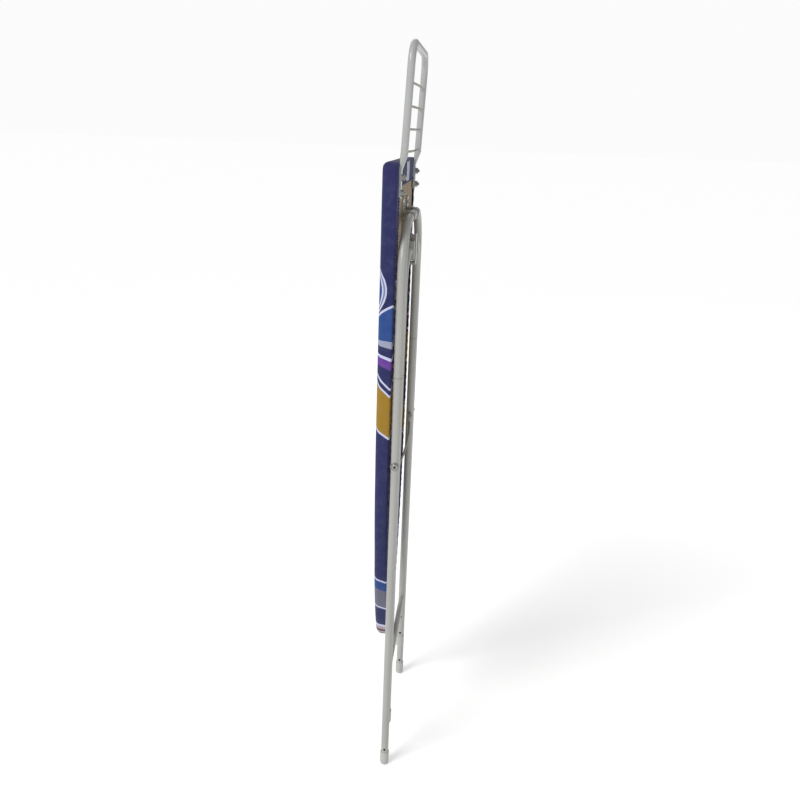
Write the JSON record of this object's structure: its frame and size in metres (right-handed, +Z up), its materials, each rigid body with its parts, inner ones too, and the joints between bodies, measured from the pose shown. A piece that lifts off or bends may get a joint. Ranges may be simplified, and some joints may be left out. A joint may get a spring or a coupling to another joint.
{
  "type": "ironing board",
  "caption": "Folding ironing board, folded flat: padded fabric-covered board, bent-tube iron rest and crossed tubular leg frames that open like scissors.",
  "frame": {"origin": "bottom centre of the folded board, on the floor under the outer feet", "axes": "+Z up along the folded board to the iron rest, +Y across the board to its right edge, +X through the thickness from the ironing face to the legs"},
  "size_m": [0.049, 0.3196, 1.4622],
  "materials": {
    "cover_fabric": "printed cotton",
    "pad_foam": "open-cell foam",
    "panel_wood": "raw chipboard",
    "rest_paint": "light grey satin paint",
    "leg_paint": "light grey satin paint",
    "wire_paint": "light grey satin paint",
    "cap_plastic": "moulded light grey",
    "shoe_plastic": "moulded light grey",
    "lever_paint": "grey satin paint",
    "zinc_steel": "zinc plated"
  },
  "bodies": {
    "board": {"board_panel": "panel_wood", "foam_pad": "pad_foam", "cover": "cover_fabric", "iron_rest_frame": "rest_paint", "rest_wire_1": "wire_paint", "rest_wire_2": "wire_paint", "rest_wire_3": "wire_paint", "rest_wire_4": "wire_paint", "rest_bolts": "zinc_steel", "rest_nuts": "zinc_steel", "hinge_strap_left": "zinc_steel", "hinge_strap_right": "zinc_steel", "strap_screws": "zinc_steel", "rail_left": "zinc_steel", "rail_right": "zinc_steel", "rail_screws": "zinc_steel", "height_rack": "zinc_steel", "rack_screws": "zinc_steel"},
    "outer_leg": {"outer_arch": "leg_paint", "outer_tube_left": "leg_paint", "outer_tube_right": "leg_paint", "outer_pivot_bolts": "zinc_steel", "outer_pivot_spacers": "cap_plastic", "outer_foot_left": "cap_plastic", "outer_foot_right": "cap_plastic"},
    "carriage": {"slide_shoe_left": "shoe_plastic", "slide_shoe_right": "shoe_plastic", "carriage_tie": "zinc_steel", "carriage_rivets": "zinc_steel", "lever_spring": "zinc_steel"},
    "inner_leg": {"inner_arch": "leg_paint", "inner_tube_left": "leg_paint", "inner_tube_right": "leg_paint", "inner_pivot_nuts": "zinc_steel", "inner_brace": "leg_paint", "inner_stay_wire": "wire_paint", "inner_foot_left": "cap_plastic", "inner_foot_right": "cap_plastic"},
    "lever": {"release_lever": "lever_paint"}
  },
  "joints": [
    {"name": "leg_fold", "type": "hinge", "parent": "board", "child": "outer_leg", "pos_m": [0.01449, 0, 1.175], "axis": [0, -1, 0], "range_deg": [0, 46]},
    {"name": "carriage_slide", "type": "slide", "parent": "board", "child": "carriage", "axis": [0, 0, -1], "range_m": [0, 0.4659]},
    {"name": "inner_fold", "type": "hinge", "parent": "carriage", "child": "inner_leg", "pos_m": [0.01449, 0, 1.115], "axis": [0, -1, 0], "range_deg": [0, 123.82]},
    {"name": "lever_press", "type": "hinge", "parent": "carriage", "child": "lever", "pos_m": [0.01449, 0, 1.115], "axis": [0, -1, 0], "range_deg": [0, 16], "stiffness_Nm_per_rad": 0.3, "springref_deg": -17.19}
  ],
  "couplings": [
    {"joint": "carriage_slide", "follows": "leg_fold", "m_per_rad": 0.58027},
    {"joint": "inner_fold", "follows": "leg_fold", "ratio": 2.6916}
  ]
}
